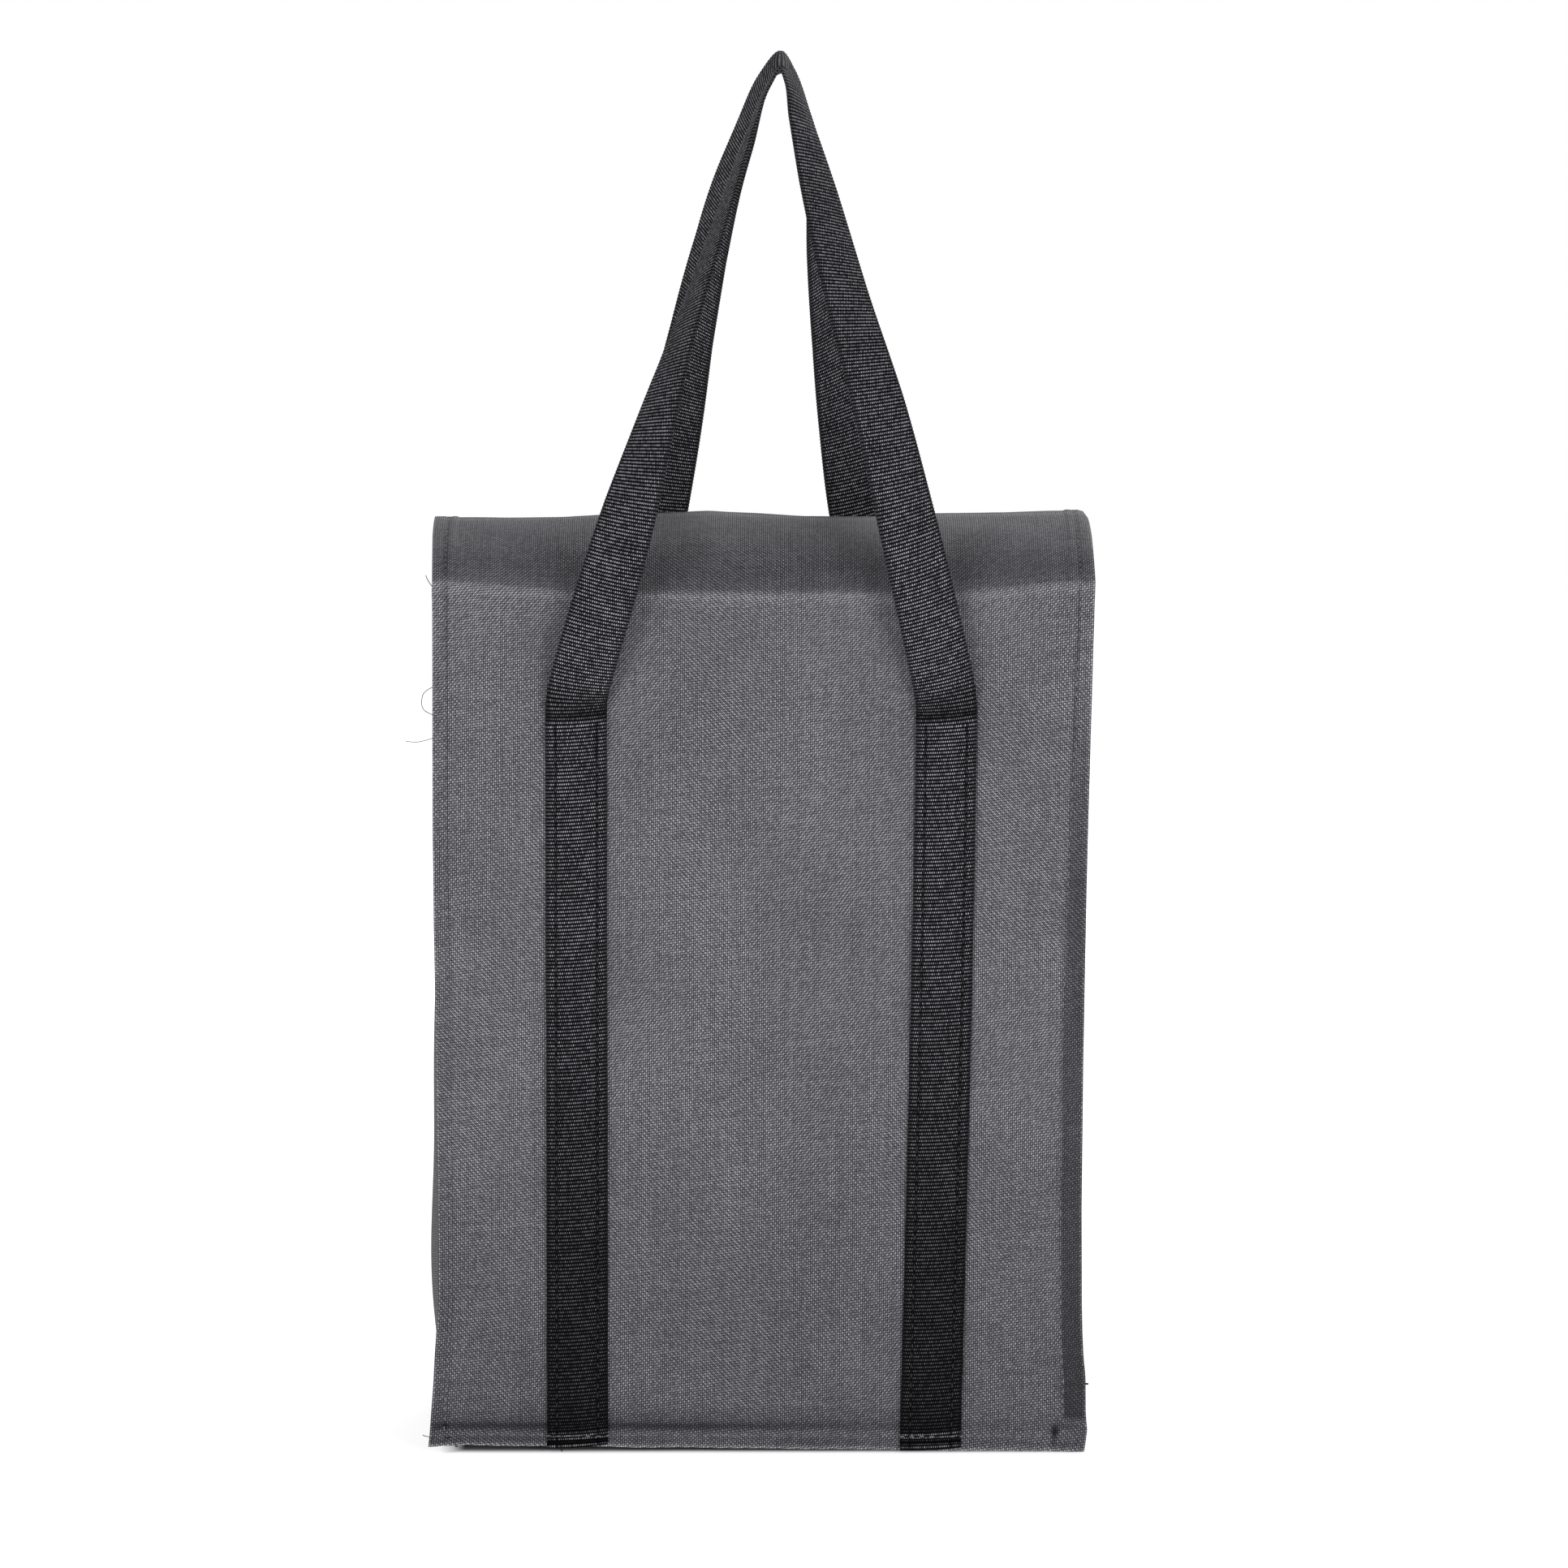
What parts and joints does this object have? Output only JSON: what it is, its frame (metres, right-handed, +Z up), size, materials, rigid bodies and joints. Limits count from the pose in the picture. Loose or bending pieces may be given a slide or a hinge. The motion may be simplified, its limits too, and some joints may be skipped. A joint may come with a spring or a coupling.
{
  "type": "attached lid tote",
  "caption": "Soft boxy tote sewn from woven cloth, with a one-piece lid attached along the back panel and a webbing handle on each broad side.",
  "frame": {"origin": "middle of the base, on the ground", "axes": "+Z up; the lid is attached along the back, at -Y, and closes over the front, at +Y; +X to the right when the back is looked at from behind"},
  "size_m": [0.27, 0.1803, 0.5763],
  "materials": {
    "canvas": "coated plain weave, mid dark grey, matt with a slight sheen",
    "webbing": "ribbed near-black webbing",
    "thread": "near-black sewing thread",
    "closure": "black hook and loop tape",
    "board": "dark grey stiff board, matt"
  },
  "bodies": {
    "bag": {"back_bottom_seam_stitches": "thread", "back_left_seam_stitches": "thread", "back_left_strap": "webbing", "back_left_strap_stitches": "thread", "back_left_tack": "thread", "back_panel": "canvas", "back_right_seam_stitches": "thread", "back_right_strap": "webbing", "back_right_strap_stitches": "thread", "back_right_tack": "thread", "base_board": "board", "bottom_panel": "canvas", "front_bottom_seam_stitches": "thread", "front_left_seam_stitches": "thread", "front_left_strap": "webbing", "front_left_strap_stitches": "thread", "front_left_tack": "thread", "front_panel": "canvas", "front_panel_hem_stitches": "thread", "front_right_seam_stitches": "thread", "front_right_strap": "webbing", "front_right_strap_stitches": "thread", "front_right_tack": "thread", "left_bottom_seam_stitches": "thread", "left_gusset": "canvas", "left_gusset_hem_stitches": "thread", "loop_strip": "closure", "loop_strip_stitches": "thread", "right_bottom_seam_stitches": "thread", "right_gusset": "canvas", "right_gusset_hem_stitches": "thread"},
    "lid": {"hook_strip": "closure", "hook_strip_stitches": "thread", "lid_front_hem_stitches": "thread", "lid_left_hem_stitches": "thread", "lid_panel": "canvas", "lid_right_hem_stitches": "thread"},
    "handle_back": {"back_handle": "webbing"},
    "handle_front": {"front_handle": "webbing"}
  },
  "joints": [
    {"name": "lid_hinge", "type": "hinge", "parent": "bag", "child": "lid", "pos_m": [0, -0.07, 0.36], "axis": [1, 0, 0], "range_deg": [0, 65]},
    {"name": "back_handle_hinge", "type": "hinge", "parent": "bag", "child": "handle_back", "pos_m": [0, -0.0727, 0.302], "axis": [1, 0, 0], "range_deg": [0, 150]},
    {"name": "front_handle_hinge", "type": "hinge", "parent": "bag", "child": "handle_front", "pos_m": [0, 0.0727, 0.302], "axis": [-1, 0, 0], "range_deg": [0, 150]}
  ]
}
